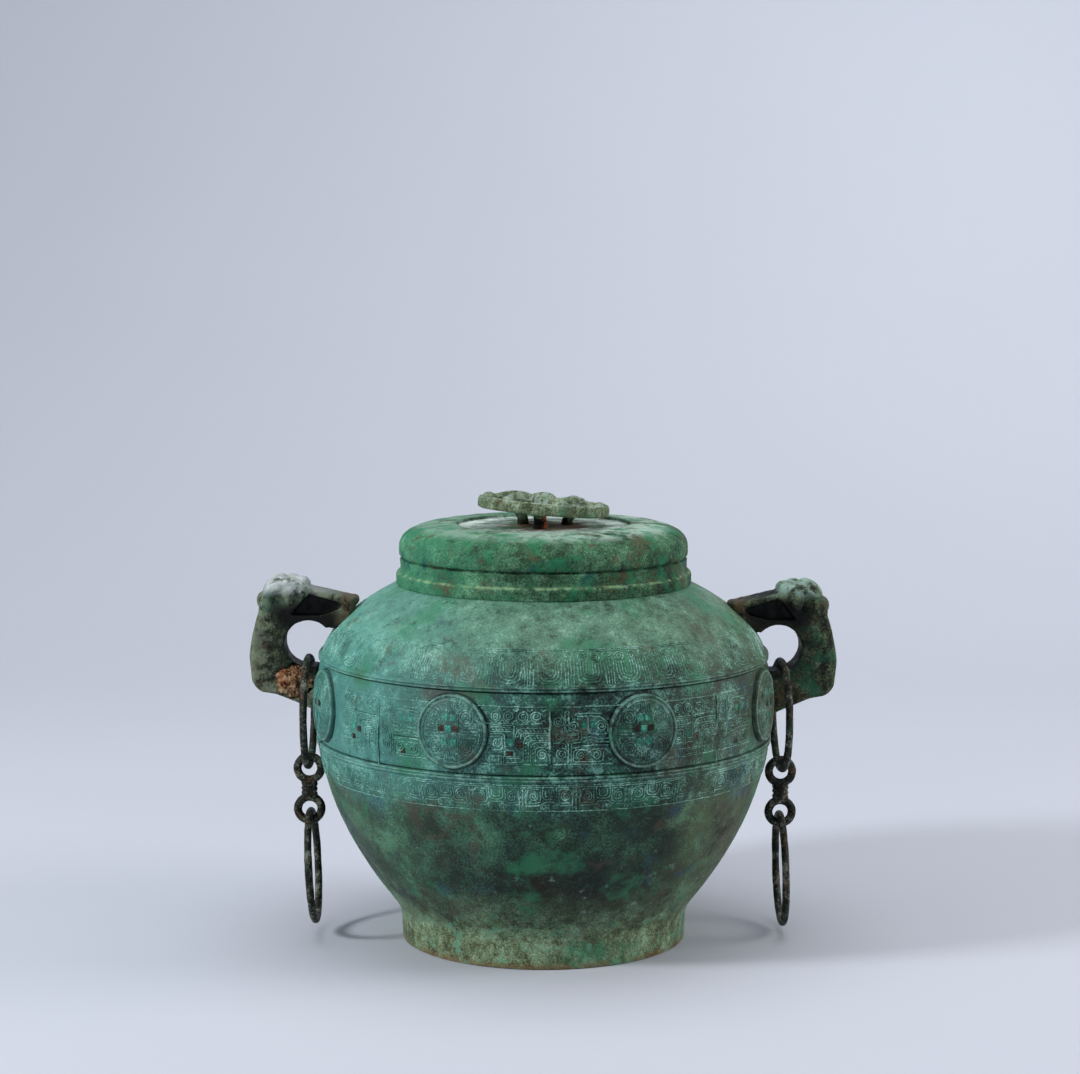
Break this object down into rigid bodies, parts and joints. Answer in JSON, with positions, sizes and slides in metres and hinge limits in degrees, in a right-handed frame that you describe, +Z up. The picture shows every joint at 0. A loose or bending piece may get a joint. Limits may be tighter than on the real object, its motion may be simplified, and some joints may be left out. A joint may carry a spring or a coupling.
{
  "type": "bronze fou vessel",
  "caption": "Round-bellied lidded bronze jar on a ring foot, with relief bands and medallions, beast-headed handles, hanging ring chains and an openwork knob.",
  "frame": {"origin": "centre of the ring foot's underside, on the surface that the jar stands on", "axes": "+Z up, +X from the axis towards the right handle, the front faces -Y"},
  "size_m": [0.546, 0.4242, 0.4173],
  "materials": {
    "jar_bronze": "corroded cast bronze, teal and grey-green patina with dark brown and blue patches",
    "lid_bronze": "corroded cast bronze, bright malachite green patina with brown and pale earth",
    "knob_bronze": "corroded cast bronze, pale olive and grey-green patina",
    "handle_bronze": "corroded cast bronze, dark green and brown-black patina, pale grey on top, orange clay core bared at one break",
    "chain_bronze": "corroded wrought bronze, dark olive brown with green and pale spots"
  },
  "bodies": {
    "root": {"vessel_body": "jar_bronze", "lid": "lid_bronze", "lid_knob": "knob_bronze", "handle_left": "handle_bronze", "handle_right": "handle_bronze", "upper_ring_left": "chain_bronze", "upper_ring_right": "chain_bronze", "eye_link_left": "chain_bronze", "eye_link_right": "chain_bronze", "lower_ring_left": "chain_bronze", "lower_ring_right": "chain_bronze"}
  },
  "joints": []
}
